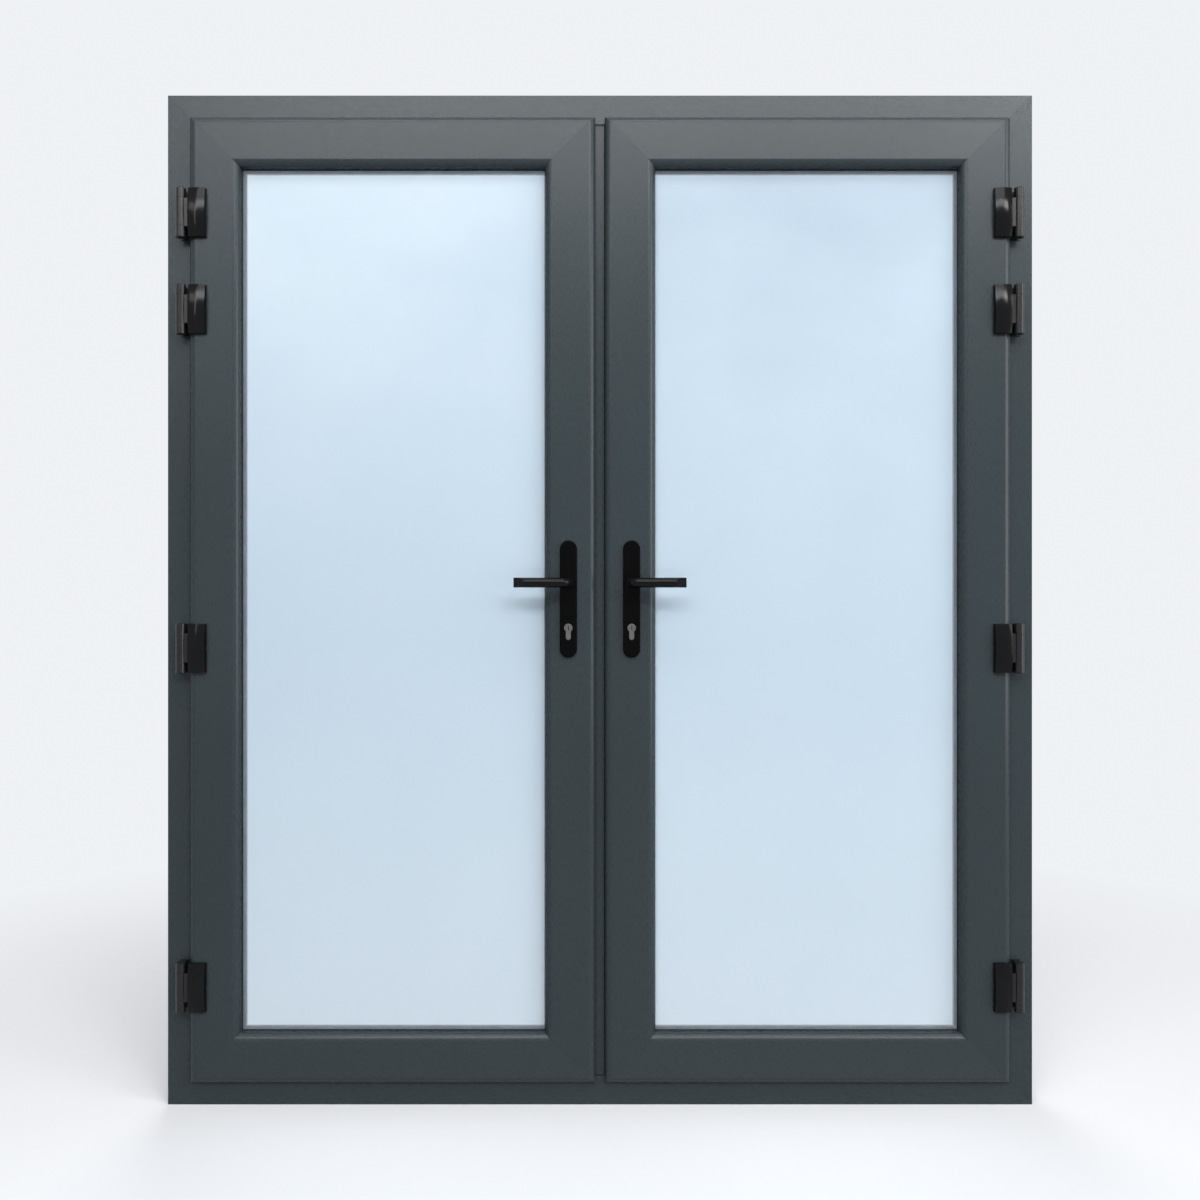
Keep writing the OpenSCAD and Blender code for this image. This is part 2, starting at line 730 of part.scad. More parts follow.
module leaf_hinge_bushes() color(nylon_colour) at_hinges()
    difference() {
        union() {
            translate([0, 0, -knuckle_half]) cylinder(r = barrel_r - slide_clear, h = bush_flange);
            translate([0, 0, -knuckle_half]) cylinder(r = bush_r, h = 2 * knuckle_half - knuckle_gap);
        }
        translate([0, 0, -knuckle_half - eps])
            cylinder(r = pin_r + running, h = 2 * knuckle_half + 2 * eps);
    }

module leaf_hinge_covers() color(black_colour) at_hinges() hinge_cover();

// Section of the cover, with a crowned front and rounded front edges
module cover_section(w, t, r, crown) {
    intersection() {
        union() {
            translate([0, r]) square([w, t - r]);
            translate([r, 0]) square([w - 2 * r, t]);
            for (x = [r, w - r])
                translate([x, r]) circle(r = r);
        }
        translate([w / 2, crown]) circle(r = crown);
    }
}

// Body of the cover, its section swept round the bow and cut off square at the back and the ends
module cover_body(inset) {
    w = cover_w - 2 * inset;
    h = barrel_h - 2 * inset;
    bow = cover_bow - inset;
    translate([inset, inset, 0])
        intersection() {
            translate([0, bow, 0])
                rotate([0, 90, 0])
                    rotate_extrude($fn = bow_steps)
                        translate([bow, 0])
                            rotate(90) cover_section(w, cover_t, cover_round - inset, cover_crown - inset);
            translate([0, 0, -h / 2]) cube([w, cover_t, h]);
        }
}

// Open-backed cover over the leaf's hinge plate, with a gap for the arm and a release notch
module hinge_cover() {
    arm_room = knuckle_half + slide_clear;
    arm_front = hinge_lift - arm_gap - arm_t - slide_clear;
    translate([cover_x0, hinge_lift - cover_t, 0])
        difference() {
            cover_body(0);
            cover_body(cover_wall);
            translate([-eps, arm_front - hinge_lift + cover_t, -arm_room])
                cube([cover_wall + 2 * eps, cover_t, 2 * arm_room]);
            translate([cover_w - cover_wall - eps, cover_t - notch_d, -notch_h / 2])
                cube([cover_wall + 2 * eps, cover_t, notch_h]);
        }
}

// Puts a shape on the leaf's outside face at the lever's axis, or on its room face
module on_outside() at_depth() translate([handle_x, face_d, lever_z]) rotate([90, 0, 0]) children();
module on_inside() at_depth() translate([0, 2 * leaf_middle, 0]) mirror([0, 1, 0])
    translate([handle_x, face_d, lever_z]) rotate([90, 0, 0]) children();

module leaf_handle_plates() color(black_colour) {
    on_outside() handle_plate();
    on_inside() handle_plate();
}

// A long round-ended plate with a bevelled face, a collar for the lever and a cylinder hole
module handle_plate() {
    difference() {
        union() {
            translate([0, -plate_drop, 0]) plate_blank();
            cylinder(r = collar_r, h = plate_t + collar_h);
        }
        translate([0, 0, -eps]) cylinder(r = bar_r + running, h = plate_t + collar_h + 2 * eps);
        translate([0, -lock_centres, -eps])
            linear_extrude(plate_t + 2 * eps) cylinder_outline(cyl_clear);
    }
}

module plate_blank() {
    straight = plate_h - plate_w;
    edge = plate_t - plate_bevel;
    half = plate_w / 2;
    linear_extrude(edge) {
        square([plate_w, straight], center = true);
        for (side = [-1, 1])
            translate([0, side * straight / 2]) circle(r = half);
    }
    translate([0, 0, edge]) {
        rotate([90, 0, 0])
            linear_extrude(straight, center = true)
                polygon([
                    [-half, 0], [half, 0],
                    [half - plate_bevel, plate_bevel], [plate_bevel - half, plate_bevel]
                ]);
        for (side = [-1, 1])
            translate([0, side * straight / 2, 0])
                cylinder(r1 = half, r2 = half - plate_bevel, h = plate_bevel);
    }
}

// Keyhole outline of a door cylinder, grown by a clearance
module cylinder_outline(extra) {
    drop = cyl_h - cyl_r - cyl_web / 2;
    circle(r = cyl_r + extra);
    translate([-cyl_web / 2 - extra, -drop]) square([cyl_web + 2 * extra, drop]);
    translate([0, -drop]) circle(r = cyl_web / 2 + extra);
}

// Puts a shape on the cylinder's axis in the lock's middle, with z pointing outside
module at_cylinder() at_depth() translate([handle_x, lock_d, cyl_z]) rotate([90, 0, 0]) children();

module leaf_cylinder() color(nickel_colour) at_cylinder() {
    half = cam_w / 2 + cam_clear;
    difference() {
        translate([0, 0, -cyl_in]) linear_extrude(cyl_in + cyl_out) cylinder_outline(0);
        translate([0, 0, -cyl_in - eps]) cylinder(r = plug_r + running, h = cyl_in + cyl_out + 2 * eps);
        translate([-cyl_r - eps, -cam_path_r, -half])
            cube([2 * cyl_r + 2 * eps, cam_path_r + cyl_r + eps, 2 * half]);
    }
}

// Plug with a keyway at each end and a cam in the middle
module leaf_cylinder_plug() color(nickel_colour) at_cylinder() {
    difference() {
        union() {
            translate([0, 0, -cyl_in]) cylinder(r = plug_r, h = cyl_in + cyl_out);
            translate([0, 0, -cam_w / 2]) cylinder(r = cyl_r, h = cam_w);
            translate([-cam_b / 2, -cam_reach, -cam_w / 2]) cube([cam_b, cam_reach, cam_w]);
        }
        for (z = [cyl_out - keyway_depth, -cyl_in - eps])
            translate([-keyway_w / 2, -keyway_h / 2, z]) cube([keyway_w, keyway_h, keyway_depth + eps]);
    }
}

module leaf_lock_case() color(steel_colour) at_depth() difference() {
    translate([leaf_edge_x - case_s1, lock_d - case_t / 2, case_bottom])
        cube([case_depth, case_t, case_top - case_bottom]);
    across_leaf(lever_z)
        cylinder(r = follower_r + running, h = 2 * (leaf_back - face_d), center = true);
    across_leaf(cyl_z) {
        linear_extrude(2 * (leaf_back - face_d), center = true) cylinder_outline(cyl_clear);
        cylinder(r = cam_path_r, h = 2 * (leaf_back - face_d), center = true);
    }
    for (z = [lever_z + rod_start, lever_z - rod_start - lug_h])
        translate([
            leaf_edge_x - case_s0 - lug_reach - slide_clear, lock_d - lug_w / 2 - slide_clear,
            z - bolt_travel - slide_clear
        ])
            cube([
                lug_reach + slide_clear + eps, lug_w + 2 * slide_clear,
                lug_h + 2 * (bolt_travel + slide_clear)
            ]);
}

module leaf_faceplate() color(steel_colour) at_depth()
    translate([leaf_edge_x - seat_s, lock_d - faceplate_w / 2, leaf_margin + faceplate_end])
        cube([faceplate_t, faceplate_w, leaf_h - 2 * faceplate_end]);

module leaf_outer_lever() color(black_colour) on_outside() lever();
module leaf_inner_lever() color(black_colour) on_inside() lever();

// A round neck that leaves the plate, bends through a quarter turn into a flat-backed bar and ends in a facet
module lever() {
    neck = bar_reach - bend_r;
    hole = spindle_w + 2 * running;
    difference() {
        union() {
            translate([0, 0, lever_gap]) cylinder(r = bar_r, h = neck - lever_gap);
            translate([-bend_r, 0, neck])
                rotate([-90, 0, 0])
                    rotate([0, 0, -90])
                        rotate_extrude(angle = 90) translate([bend_r, 0]) circle(r = bar_r);
            translate([-lever_l, 0, bar_reach]) rotate([0, 90, 0]) cylinder(r = bar_r, h = lever_l - bend_r);
            translate([-lever_l, -bar_r, bar_reach - bar_r]) cube([lever_l - bend_r, 2 * bar_r, bar_r]);
        }
        translate([-hole / 2, -hole / 2, -eps]) cube([hole, hole, spindle_grip + eps]);
        translate([-lever_l, 0, bar_reach - bar_r])
            rotate([0, tip_angle, 0])
                translate([-2 * bar_r, -2 * bar_r, -bar_r]) cube([2 * bar_r, 4 * bar_r, 6 * bar_r]);
    }
}

// Square spindle between the two levers, and the follower that it turns in the lock case
module leaf_spindle() color(steel_colour) at_depth() across_leaf(lever_z) {
    len = leaf_back - face_d + 2 * (spindle_grip - lever_gap);
    hole = spindle_w + 2 * running;
    cube([spindle_w, spindle_w, len], center = true);
    translate([0, 0, leaf_middle - lock_d])
        difference() {
            cylinder(r = follower_r, h = case_t - 2 * slide_clear, center = true);
            cube([hole, hole, case_t + eps], center = true);
        }
}

// A flat rod in the lock groove with a drive lug at its inner end and a round tip at its outer end
module shootbolt(len) {
    translate([-rod_s0 - rod_t, -rod_w / 2, 0]) cube([rod_t, rod_w, len - bolt_l + eps]);
    translate([-bolt_s, 0, len - bolt_l]) cylinder(r = bolt_r, h = bolt_l);
    translate([-case_s0 - lug_reach + slide_clear, -lug_w / 2, 0])
        cube([case_s0 + lug_reach - slide_clear - rod_s0 - rod_t + eps, lug_w, lug_h]);
}

module leaf_upper_shootbolt() color(steel_colour) at_depth()
    translate([leaf_edge_x, lock_d, lever_z + rod_start]) shootbolt(bolt_top - lever_z - rod_start);

module leaf_lower_shootbolt() color(steel_colour) at_depth()
    translate([leaf_edge_x, lock_d, lever_z - rod_start])
        mirror([0, 0, 1]) shootbolt(lever_z - rod_start - bolt_bottom);

// Keeps for the shootbolts, on the frame's channel floor above and below each leaf
module shootbolt_keeps() color(steel_colour) at_depth()
    for (x = [-bolt_x, bolt_x], z = [frame_face, frame_h - frame_face - keep_t])
        translate([x, lock_d, z])
            difference() {
                translate([-keep_w / 2, -keep_l / 2, 0]) cube([keep_w, keep_l, keep_t]);
                translate([0, 0, -eps]) cylinder(r = bolt_r + keep_clear, h = keep_t + 2 * eps);
            }

module mullion_outline() polygon([
    [mullion_x0, 0], [mullion_x1, 0], [mullion_x1 - mullion_taper, leaf_back], [mullion_x0, leaf_back]
]);

// Hollow strip that rides on the left leaf's edge and fills the space between the leaves
module mullion() color(frame_colour) at_depth()
    translate([0, 0, mullion_z0 + mullion_cap])
        linear_extrude(mullion_l - 2 * mullion_cap)
            difference() {
                mullion_outline();
                for (span = [[wall, leaf_back / 2 - web / 2], [leaf_back / 2 + web / 2, leaf_back - wall]])
                    box_between(mullion_x0 + wall, span[0], mullion_x1 - mullion_taper - wall, span[1]);
            }

module mullion_end_caps() color(black_colour) at_depth()
    for (z = [mullion_z0, mullion_z0 + mullion_l - mullion_cap])
        translate([0, 0, z]) linear_extrude(mullion_cap) mullion_outline();

// Fin and bulb on the right leaf's edge that close the space beside the mullion
module right_meeting_seal() color(rubber_colour) at_depth()
    translate([0, 0, mullion_z0])
        linear_extrude(mullion_l) {
            edge = -mullion_x0;
            bulb_x = mullion_x1 - mullion_taper * meeting_seal_d / leaf_back + seal_clear + meeting_bulb_r;
            translate([edge - meeting_fin, meeting_seal_d - meeting_foot / 2])
                square([meeting_fin, meeting_foot]);
            translate([bulb_x, meeting_seal_d - meeting_fin / 2]) square([edge - bulb_x, meeting_fin]);
            translate([bulb_x, meeting_seal_d]) circle(r = meeting_bulb_r);
        }

frame_head();
frame_threshold();
frame_left_jamb();
frame_right_jamb();
frame_steels();
frame_gasket();
left_jamb_hinges();
right_jamb_hinges();
hinge_pins();
shootbolt_keeps();
leaf_top_rail();  // left_top_rail
leaf_bottom_rail();  // left_bottom_rail
leaf_hinge_stile();  // left_hinge_stile
leaf_lock_stile();  // left_lock_stile
leaf_steels();  // left_steels
leaf_panes();  // left_panes
leaf_spacer();  // left_spacer
leaf_beads();  // left_beads
leaf_gaskets();  // left_gaskets
leaf_packers();  // left_packers
leaf_hinges();  // left_leaf_hinges
leaf_hinge_bushes();  // left_hinge_bushes
leaf_hinge_covers();  // left_hinge_covers
leaf_handle_plates();  // left_handle_plates
leaf_cylinder();  // left_cylinder
leaf_lock_case();  // left_lock_case
leaf_faceplate();  // left_faceplate
mullion();
mullion_end_caps();
leaf_outer_lever();  // left_outer_lever
leaf_inner_lever();  // left_inner_lever
leaf_spindle();  // left_spindle
leaf_cylinder_plug();  // left_cylinder_plug
leaf_upper_shootbolt();  // left_upper_shootbolt
leaf_lower_shootbolt();  // left_lower_shootbolt
to_right() leaf_top_rail();  // right_top_rail
to_right() leaf_bottom_rail();  // right_bottom_rail
to_right() leaf_hinge_stile();  // right_hinge_stile
to_right() leaf_lock_stile();  // right_lock_stile
to_right() leaf_steels();  // right_steels
to_right() leaf_panes();  // right_panes
to_right() leaf_spacer();  // right_spacer
to_right() leaf_beads();  // right_beads
to_right() leaf_gaskets();  // right_gaskets
to_right() leaf_packers();  // right_packers
to_right() leaf_hinges();  // right_leaf_hinges
to_right() leaf_hinge_bushes();  // right_hinge_bushes
to_right() leaf_hinge_covers();  // right_hinge_covers
to_right() leaf_handle_plates();  // right_handle_plates
to_right() leaf_cylinder();  // right_cylinder
to_right() leaf_lock_case();  // right_lock_case
to_right() leaf_faceplate();  // right_faceplate
right_meeting_seal();
to_right() leaf_outer_lever();  // right_outer_lever
to_right() leaf_inner_lever();  // right_inner_lever
to_right() leaf_spindle();  // right_spindle
to_right() leaf_cylinder_plug();  // right_cylinder_plug
to_right() leaf_upper_shootbolt();  // right_upper_shootbolt
to_right() leaf_lower_shootbolt();  // right_lower_shootbolt
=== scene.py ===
import math

import bmesh
import bpy
from mathutils import Matrix, Vector


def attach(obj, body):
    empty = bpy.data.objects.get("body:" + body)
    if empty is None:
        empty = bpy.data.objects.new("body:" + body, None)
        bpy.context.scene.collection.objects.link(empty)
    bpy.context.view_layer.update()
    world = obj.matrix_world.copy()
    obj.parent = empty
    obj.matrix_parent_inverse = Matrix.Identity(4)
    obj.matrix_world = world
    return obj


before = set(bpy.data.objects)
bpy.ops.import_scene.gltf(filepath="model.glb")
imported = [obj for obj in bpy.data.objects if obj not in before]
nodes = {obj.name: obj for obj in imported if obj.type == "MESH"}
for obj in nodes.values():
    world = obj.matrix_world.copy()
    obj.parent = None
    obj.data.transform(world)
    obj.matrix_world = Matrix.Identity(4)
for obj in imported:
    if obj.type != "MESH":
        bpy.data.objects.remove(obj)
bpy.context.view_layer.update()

# Sizes shared with the solids, in metres
FRAME_FRONT = -0.035
MID_Z = 1.045
LEAF_BACK = 0.013
HANDLE_X = 0.06475
PLATE_MID_Z = 1.047
PLATE_T = 0.008
FACEPLATE_X = 0.02975
LOCK_Y = -0.007
KEEP_X = 0.03785
KEEP_FACES = (0.0625, 2.0275)
HINGE_X = 0.8596
HINGE_Y = -0.057
HINGE_HEIGHTS = (0.251, 0.946, 1.641, 1.839)
BARREL_HALF = 0.050
BARREL_R = 0.010
PANE_SIDE = 0.7525
PANE_HALF = 0.9025
CAVITY_Y = -0.018

# Sizes of the small pieces, in metres
KEEP_SCREW_R = 0.0034
KEEP_SCREW_H = 0.0008
KEEP_SCREW_OFFSET = 0.013
FACEPLATE_SCREW_R = 0.0042
FACEPLATE_SCREW_H = 0.0009
FACEPLATE_SCREWS = 8
FACEPLATE_FIRST_Z = 0.16
FACEPLATE_PITCH = 0.253
PLATE_SCREW_R = 0.0040
PLATE_SCREW_H = 0.0011
PLATE_SCREW_OFFSET = 0.102
SCREW_SEAT = 0.0005

# Screw heads, as shares of their height and radius
SCREW_CROWN = ((0.0, 1.0), (0.5, 0.93), (1.0, 0.70))
RECESS_MOUTH = (0.55, 0.14)
RECESS_FLOOR = (0.45, 0.10)

# Hinge caps, as heights over the barrel's end and insets from its radius
CAP_PROFILE = ((-0.0002, 0.0006), (0.0004, 0.0006), (0.0012, 0.0016), (0.0017, 0.0036), (0.0019, 0.0065))

# Rounding of edges and turned shapes
WELD_DISTANCE = 0.00001
BEVEL_SEGMENTS = 2
BEVEL_ANGLE = math.radians(28)
SMOOTH_ANGLE = math.radians(32)
TURN_STEPS = 48
NEAR_ZERO = 1e-6

# The clear rim of the panes, as distances from their edges
RIM_CLEAR = 0.019
RIM_HAZED = 0.023

# Places on the panes between which their tint changes: the painted light that makes the lower part paler,
# and the painted sky reflection near the top
PAINTED_LIGHT_BOTTOM = 0.14
PAINTED_LIGHT_TOP = 0.95
REFLECTED_CLOUD_BOTTOM = 1.1
REFLECTION_BOTTOM = 1.15
PANE_TOP = 2.0
REFLECTION_LEFT = -0.6
REFLECTION_RIGHT = 0.3

# The values between which most of a noise texture lies
NOISE_RANGE = (0.3, 0.7)

# Studio
PALE = (0.86, 0.88, 0.91, 1.0)
WORLD_COLOUR = (0.94, 0.97, 1.0, 1.0)
WORLD_STRENGTH = 0.12
FLOOR_COLOUR = (0.80, 0.81, 0.83, 1.0)
FLOOR_DIM = (0.20, 0.20, 0.21, 1.0)
FLOOR_R = 9.0
FLOOR_LIT_R = 0.9
FLOOR_PLAIN_R = 2.6
FLOOR_SEGMENTS = 96
CAMERA_DISTANCE = 2.2
SENSOR_MM = 36.0
LENS_MM = 31.86

# Lamps: name, place, target, size, power, and whether glossy surfaces mirror it
LAMPS = (
    ("front", (0.9, -6.0, 4.95), (0.9, 0.0, 1.4), (8.0, 1.0), 298.0, True),
    ("corner", (4.0, -5.9, 5.05), (0.8, 0.0, 1.9), (1.6, 1.0), 44.0, True),
    ("wing", (-4.6, -6.0, 4.95), (-0.9, 0.0, 1.6), (3.0, 1.0), 40.0, True),
    ("left", (-3.1, -6.0, 3.5), (-0.8, 0.0, 1.5), (0.4, 1.8), 16.0, True),
    ("overhead", (0.3, -3.6, 4.8), (0.3, 0.0, 0.6), (4.5, 1.0), 62.0, True),
    ("steep", (0.3, -1.9, 4.9), (0.3, 0.0, 0.4), (4.5, 1.0), 82.0, True),
    ("side", (6.5, -3.2, 2.4), (0.0, 0.0, 1.3), (3.4, 5.0), 280.0, True),
    ("back", (-1.0, 5.5, 1.8), (0.0, 0.0, 1.1), (4.0, 2.0), 240.0, False),
    ("fill", (-0.2, -2.6, 0.25), (0.0, 0.0, 0.30), (3.0, 0.5), 11.0, False),
)


# Materials

class Nodes:
    """Short ways to add and link the nodes of one tree."""

    def __init__(self, tree):
        self.tree = tree

    def add(self, kind, **values):
        node = self.tree.nodes.new(kind)
        for key, value in values.items():
            setattr(node, key, value)
        return node

    def link(self, output, target):
        self.tree.links.new(output, target)

    def maths(self, operation, a, b):
        node = self.add("ShaderNodeMath", operation=operation)
        for socket, value in zip(node.inputs, (a, b)):
            if isinstance(value, (int, float)):
                socket.default_value = value
            else:
                self.link(value, socket)
        return node.outputs["Value"]

    def backdrop_rays(self):
        """The rays that see the plain backdrop: the camera's, and those passed on or mirrored."""
        path = self.add("ShaderNodeLightPath")
        seen = self.maths("MAXIMUM", path.outputs["Is Camera Ray"], path.outputs["Is Transmission Ray"])
        return self.maths("MAXIMUM", seen, path.outputs["Is Glossy Ray"])

    def either(self, share, first, second):
        """A shader that goes from one shader to another."""
        mix = self.add("ShaderNodeMixShader")
        self.link(share, mix.inputs["Fac"])
        self.link(first, mix.inputs[1])
        self.link(second, mix.inputs[2])
        return mix.outputs["Shader"]


class Shader(Nodes):
    """A node material built round one Principled shader, textured in the part's own coordinates."""

    def __init__(self, name, **values):
        self.material = bpy.data.materials.new(name)
        self.material.use_nodes = True
        super().__init__(self.material.node_tree)
        self.bsdf = self.tree.nodes["Principled BSDF"]
        self.coords = self.add("ShaderNodeTexCoord").outputs["Object"]
        for key, value in values.items():
            self.bsdf.inputs[key.replace("_", " ")].default_value = value

    def noise(self, scale, size=(1, 1, 1), detail=3.0, roughness=0.5, distortion=0.0):
        mapping = self.add("ShaderNodeMapping")
        mapping.inputs["Scale"].default_value = size
        self.link(self.coords, mapping.inputs["Vector"])
        noise = self.add("ShaderNodeTexNoise")
        self.link(mapping.outputs["Vector"], noise.inputs["Vector"])
        noise.inputs["Scale"].default_value = scale
        noise.inputs["Detail"].default_value = detail
        noise.inputs["Roughness"].default_value = roughness
        noise.inputs["Distortion"].default_value = distortion
        return noise.outputs["Fac"]

    def cells(self, scale):
        """A grey that differs from cell to cell."""
        voronoi = self.add("ShaderNodeTexVoronoi")
        self.link(self.coords, voronoi.inputs["Vector"])
        voronoi.inputs["Scale"].default_value = scale
        grey = self.add("ShaderNodeRGBToBW")
        self.link(voronoi.outputs["Color"], grey.inputs["Color"])
        return grey.outputs["Val"]

    def ramp(self, value, *stops):
        ramp = self.add("ShaderNodeValToRGB")
        elements = ramp.color_ramp.elements
        while len(elements) < len(stops):
            elements.new(0.5)
        for element, (position, colour) in zip(elements, stops):
            element.position = position
            element.color = (*colour, 1.0)
        self.link(value, ramp.inputs["Fac"])
        return ramp.outputs["Color"]

    def span(self, value, low, high, start=0.0, end=1.0):
        """A value that goes from low to high while another goes from start to end."""
        remap = self.add("ShaderNodeMapRange")
        remap.inputs["From Min"].default_value = start
        remap.inputs["From Max"].default_value = end
        remap.inputs["To Min"].default_value = low
        remap.inputs["To Max"].default_value = high
        self.link(value, remap.inputs["Value"])
        return remap.outputs["Result"]

    def mixed(self, share, start, end):
        """A colour that goes from a plain one to a linked one."""
        mix = self.add("ShaderNodeMix", data_type="RGBA")
        self.link(share, mix.inputs[0])
        mix.inputs[6].default_value = (*start, 1.0)
        self.link(end, mix.inputs[7])
        return mix.outputs[2]

    def from_edge(self, value, middle, reach):
        """Distance from a point to the nearer of two edges that lie a reach to each side of a middle."""
        offset = self.maths("ABSOLUTE", self.maths("SUBTRACT", value, middle), 0.0)
        return self.maths("SUBTRACT", reach, offset)

    def bump(self, height, strength, distance):
        bump = self.add("ShaderNodeBump")
        bump.inputs["Strength"].default_value = strength
        bump.inputs["Distance"].default_value = distance
        self.link(height, bump.inputs["Height"])
        self.link(bump.outputs["Normal"], self.bsdf.inputs["Normal"])

    def colour(self, output):
        self.link(output, self.bsdf.inputs["Base Color"])

    def rough(self, output):
        self.link(output, self.bsdf.inputs["Roughness"])


def scaled(values, factor):
    return tuple(factor * value for value in values)


def foil(name, along, shine):
    """Anthracite foil with an embossed grain that runs along one axis."""
    shader = Shader(name, Specular_IOR_Level=shine)
    grain_size = [1.0, 1.0, 1.0]
    grain_size[along] = 0.16
    cloud_size = [1.0, 1.0, 1.0]
    cloud_size[along] = 0.4
    grain = shader.noise(620.0, grain_size, detail=3.0, roughness=0.55, distortion=0.5)
    cloud = shader.noise(5.0, cloud_size, detail=2.0)
    tone = shader.maths(
        "ADD", shader.maths("MULTIPLY", grain, 0.55), shader.maths("MULTIPLY", cloud, 0.45))
    shader.colour(shader.ramp(
        tone,
        (0.30, (0.0225, 0.0320, 0.0360)),
        (0.52, (0.0258, 0.0362, 0.0405)),
        (0.72, (0.0295, 0.0405, 0.0455)),
    ))
    shader.rough(shader.span(grain, 0.24, 0.33, *NOISE_RANGE))
    shader.bump(grain, strength=0.14, distance=0.0006)
    return shader.material


def gloss_black(name, base, shine, rough):
    """Black gloss coating with a faint orange peel and finger-worn variation."""
    shader = Shader(name, Specular_IOR_Level=shine)
    peel = shader.noise(420.0, detail=2.0)
    wear = shader.noise(24.0, detail=5.0, roughness=0.6)
    shader.colour(shader.ramp(wear, (0.3, base), (0.75, scaled(base, 1.6))))
    shader.rough(shader.span(wear, *rough, *NOISE_RANGE))
    shader.bump(peel, strength=0.08, distance=0.0003)
    return shader.material


def brushed(name, base, rough, grain_size):
    """Bare metal with a fine brushed grain."""
    shader = Shader(name, Metallic=1.0)
    grain = shader.noise(900.0, grain_size, detail=3.0)
    tarnish = shader.noise(40.0, detail=4.0)
    shader.colour(shader.ramp(tarnish, (0.3, scaled(base, 0.86)), (0.7, base)))
    shader.rough(shader.span(grain, rough - 0.08, rough + 0.10, *NOISE_RANGE))
    shader.bump(grain, strength=0.12, distance=0.0002)
    return shader.material


def spangled(name, base):
    """Zinc-coated steel with crystal spangles."""
    shader = Shader(name, Metallic=1.0)
    spangle = shader.cells(120.0)
    shader.colour(shader.ramp(spangle, (0.2, scaled(base, 0.8)), (0.8, base)))
    shader.rough(shader.span(spangle, 0.32, 0.52))
    shader.bump(shader.noise(300.0), strength=0.06, distance=0.0002)
    return shader.material


def matt(name, dark, light, rough, speck_scale, strength):
    """Rubber or moulded plastic with a fine surface texture."""
    shader = Shader(name, Specular_IOR_Level=0.4)
    speck = shader.noise(speck_scale, detail=4.0)
    shader.colour(shader.ramp(speck, (0.3, dark), (0.7, light)))
    shader.rough(shader.span(speck, rough - 0.06, rough + 0.08, *NOISE_RANGE))
    shader.bump(speck, strength, distance=0.0003)
    return shader.material


def glazing(name):
    """Sky-tinted glass, hazed inside a clear rim, with a painted sky reflection of soft cloud patches and a
    paler left side near the top, and painted light that makes the lower part paler.
    """
    shader = Shader(name, IOR=1.45, Specular_IOR_Level=0.5)
    place = shader.add("ShaderNodeSeparateXYZ")
    shader.link(shader.coords, place.inputs["Vector"])
    x, y, z = (place.outputs[axis] for axis in "XYZ")
    rim = shader.maths(
        "MINIMUM", shader.from_edge(x, 0.0, PANE_SIDE), shader.from_edge(z, MID_Z, PANE_HALF))
    hazed = shader.span(rim, 0.0, 1.0, RIM_CLEAR, RIM_HAZED)
    hazed = shader.maths("MAXIMUM", hazed, shader.maths("GREATER_THAN", y, CAVITY_Y))
    shader.link(shader.span(hazed, 0.96, 0.36), shader.bsdf.inputs["Transmission Weight"])
    # Painted sky reflection: the haze is paler towards the top, most on the left
    painted_sky_reflection = shader.maths("MULTIPLY", shader.span(z, 0.0, 0.42, REFLECTION_BOTTOM, PANE_TOP),
                        shader.span(x, 1.0, -0.4, REFLECTION_LEFT, REFLECTION_RIGHT))
    # Painted sky reflection: soft cloud patches in the haze, stronger towards the top
    cloud = shader.span(shader.noise(3.2, (1.0, 1.0, 1.25), detail=3.0, roughness=0.45), -0.5, 0.5)
    cloud = shader.maths("MULTIPLY", cloud, shader.span(z, 0.15, 0.75, REFLECTED_CLOUD_BOTTOM, PANE_TOP))
    # Painted light: the haze is paler towards the bottom, standing in for lamp light that falls off there
    painted_foot_light = shader.span(z, 0.92, 0.5, PAINTED_LIGHT_BOTTOM, PAINTED_LIGHT_TOP)
    tone = shader.maths("ADD", shader.maths("ADD", cloud, painted_sky_reflection), painted_foot_light)
    sky = shader.ramp(
        tone,
        (0.25, (0.565, 0.680, 0.788)),
        (0.50, (0.640, 0.771, 0.878)),
        (0.92, (0.765, 0.872, 0.955)),
    )
    shader.colour(shader.mixed(hazed, (0.95, 0.96, 0.97), sky))
    shader.rough(shader.span(shader.noise(12.0), 0.0, 0.03, 0.3, 0.8))
    return shader.material


# The grain across the light from above shines a little more than the upright grain
FOIL_UP = foil("foil_upright", along=2, shine=0.207)
FOIL_ACROSS = foil("foil_across", along=0, shine=0.245)
HINGE_BLACK = gloss_black("hinge_black", (0.0012, 0.0012, 0.0014), shine=0.16, rough=(0.11, 0.17))
BARREL_BLACK = gloss_black("barrel_black", (0.007, 0.007, 0.0074), shine=0.28, rough=(0.22, 0.30))
PLATE_BLACK = gloss_black("plate_black", (0.0012, 0.0012, 0.0014), shine=0.05, rough=(0.12, 0.20))
LEVER_BLACK = gloss_black("lever_black", (0.0014, 0.0014, 0.0017), shine=0.13, rough=(0.08, 0.14))
NICKEL = brushed("satin_nickel", (0.17, 0.167, 0.165), rough=0.30, grain_size=(1.0, 1.0, 0.06))
ZINC = spangled("zinc_steel", (0.60, 0.61, 0.63))
SPACER = brushed("spacer_metal", (0.76, 0.78, 0.79), rough=0.45, grain_size=(0.06, 1.0, 0.06))
RUBBER = matt("gasket_rubber", (0.008, 0.008, 0.009), (0.016, 0.016, 0.017),
              rough=0.62, speck_scale=800.0, strength=0.15)
NYLON = matt("nylon", (0.010, 0.010, 0.011), (0.018, 0.018, 0.020),
             rough=0.50, speck_scale=500.0, strength=0.08)
PACKER = matt("packer_plastic", (0.020, 0.022, 0.026), (0.032, 0.034, 0.040),
              rough=0.55, speck_scale=350.0, strength=0.10)
GLASS = glazing("glass_painted_sky_and_light")


# Finishes of the solids: how their names end, the material, and the rounding of their edges

